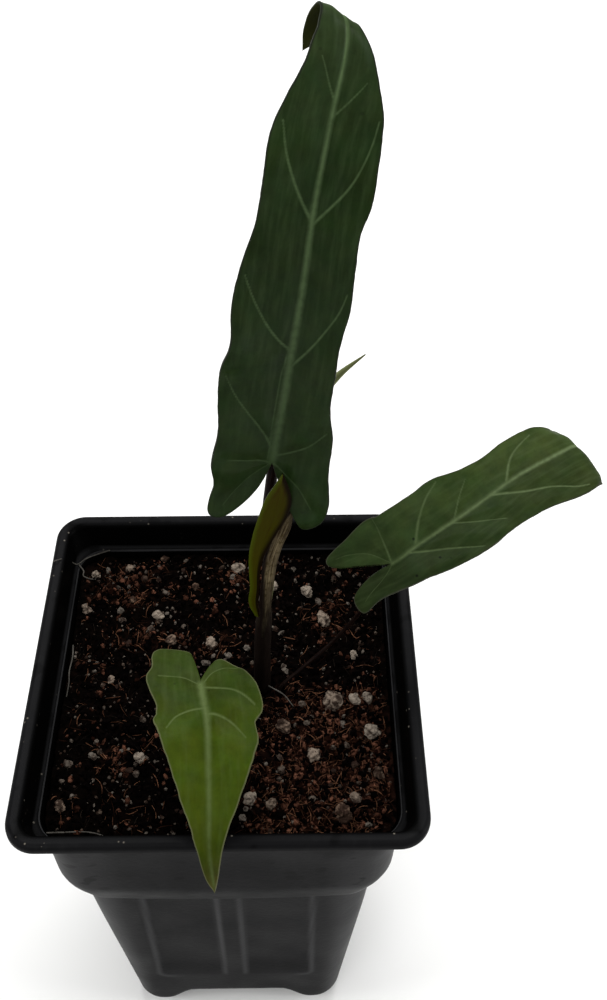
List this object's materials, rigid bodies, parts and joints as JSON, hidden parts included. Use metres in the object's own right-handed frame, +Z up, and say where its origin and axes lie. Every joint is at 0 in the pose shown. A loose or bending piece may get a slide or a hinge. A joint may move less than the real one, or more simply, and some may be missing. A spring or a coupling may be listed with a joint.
{
  "type": "potted alocasia lauterbachiana",
  "caption": "Young potted aroid with narrow wavy arrow-shaped leaves on slim stalks in a square tapered black nursery pot filled with peat and perlite mix.",
  "frame": {"origin": "middle of the underside of the pot, on the flat centre foot that it stands on", "axes": "+Z up, -Y the front of the pot as it is seen, +X to the right"},
  "size_m": [0.1367, 0.0955, 0.2827],
  "materials": {
    "black_plastic": "satin",
    "potting_mix": "matte",
    "dark_leaf": "satin",
    "green_leaf": "satin",
    "young_leaf": "satin",
    "rolled_leaf": "satin",
    "fresh_sheath": "satin",
    "dry_sheath": "matte"
  },
  "bodies": {
    "root": {"pot": "black_plastic", "soil": "potting_mix", "leaf_tall": "dark_leaf", "leaf_right": "green_leaf", "leaf_front": "young_leaf", "new_leaf": "rolled_leaf", "green_sheath": "fresh_sheath", "dry_sheath": "dry_sheath"}
  },
  "joints": []
}
